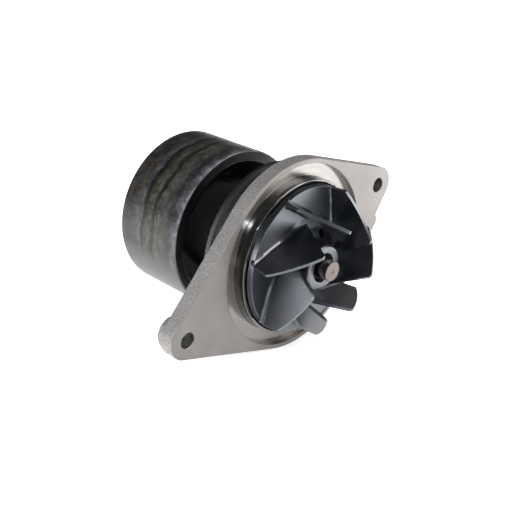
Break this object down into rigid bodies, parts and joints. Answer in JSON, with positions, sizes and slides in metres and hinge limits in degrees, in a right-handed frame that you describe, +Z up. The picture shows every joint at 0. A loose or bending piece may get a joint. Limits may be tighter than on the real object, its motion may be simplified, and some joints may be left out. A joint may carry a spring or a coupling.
{
  "type": "engine water pump",
  "caption": "Belt-driven engine coolant pump: two-ear flange with round pilot and seal groove, twisted-vane impeller in front, deep cup pulley behind.",
  "frame": {"origin": "on the shaft axis, in the plane of the machined flange face that bolts to the engine", "axes": "+Y along the shaft from the engine side towards the pulley, +Z up, +X towards the ear that sits higher, as the pump is seen in the picture"},
  "size_m": [0.1779, 0.1344, 0.1144],
  "materials": {
    "housing_cast": "grainy as cast, with a finely machined front face and turned pilot",
    "bearing_steel": "ground and polished",
    "cage_plastic": "moulded, matt",
    "seal_rubber": "moulded, matt",
    "shaft_steel": "ground, fine turning marks on the end",
    "slinger_metal": "pressed sheet",
    "pulley_steel": "turned, unevenly oxidised in bands",
    "impeller_plastic": "moulded, satin gloss",
    "bush_steel": "turned",
    "seat_ceramic": "lapped",
    "carbon": "lapped",
    "sheet_steel": "drawn sheet and wire"
  },
  "bodies": {
    "housing_body": {"housing": "housing_cast", "bearing_race": "bearing_steel", "bearing_seal_front": "seal_rubber", "bearing_seal_rear": "seal_rubber", "seal_case": "sheet_steel", "seal_bellows": "seal_rubber", "seal_retainer": "sheet_steel", "seal_carbon": "carbon", "seal_spring": "sheet_steel"},
    "rotor": {"shaft": "shaft_steel", "slinger": "slinger_metal", "pulley": "pulley_steel", "impeller": "impeller_plastic", "impeller_bush": "bush_steel", "seal_boot": "seal_rubber", "seal_seat": "seat_ceramic"},
    "ball_set": {"bearing_balls": "bearing_steel", "ball_cage": "cage_plastic"},
    "roller_set": {"bearing_rollers": "bearing_steel", "roller_cage": "cage_plastic"}
  },
  "joints": [
    {"name": "shaft_spin", "type": "hinge", "parent": "housing_body", "child": "rotor", "pos_m": [0, 0.055, 0], "axis": [0, 1, 0], "continuous": true},
    {"name": "ball_set_spin", "type": "hinge", "parent": "housing_body", "child": "ball_set", "pos_m": [0, 0.042, 0], "axis": [0, 1, 0], "continuous": true},
    {"name": "roller_set_spin", "type": "hinge", "parent": "housing_body", "child": "roller_set", "pos_m": [0, 0.067, 0], "axis": [0, 1, 0], "continuous": true}
  ],
  "couplings": [
    {"joint": "ball_set_spin", "follows": "shaft_spin", "ratio": 0.3577},
    {"joint": "roller_set_spin", "follows": "shaft_spin", "ratio": 0.396}
  ]
}
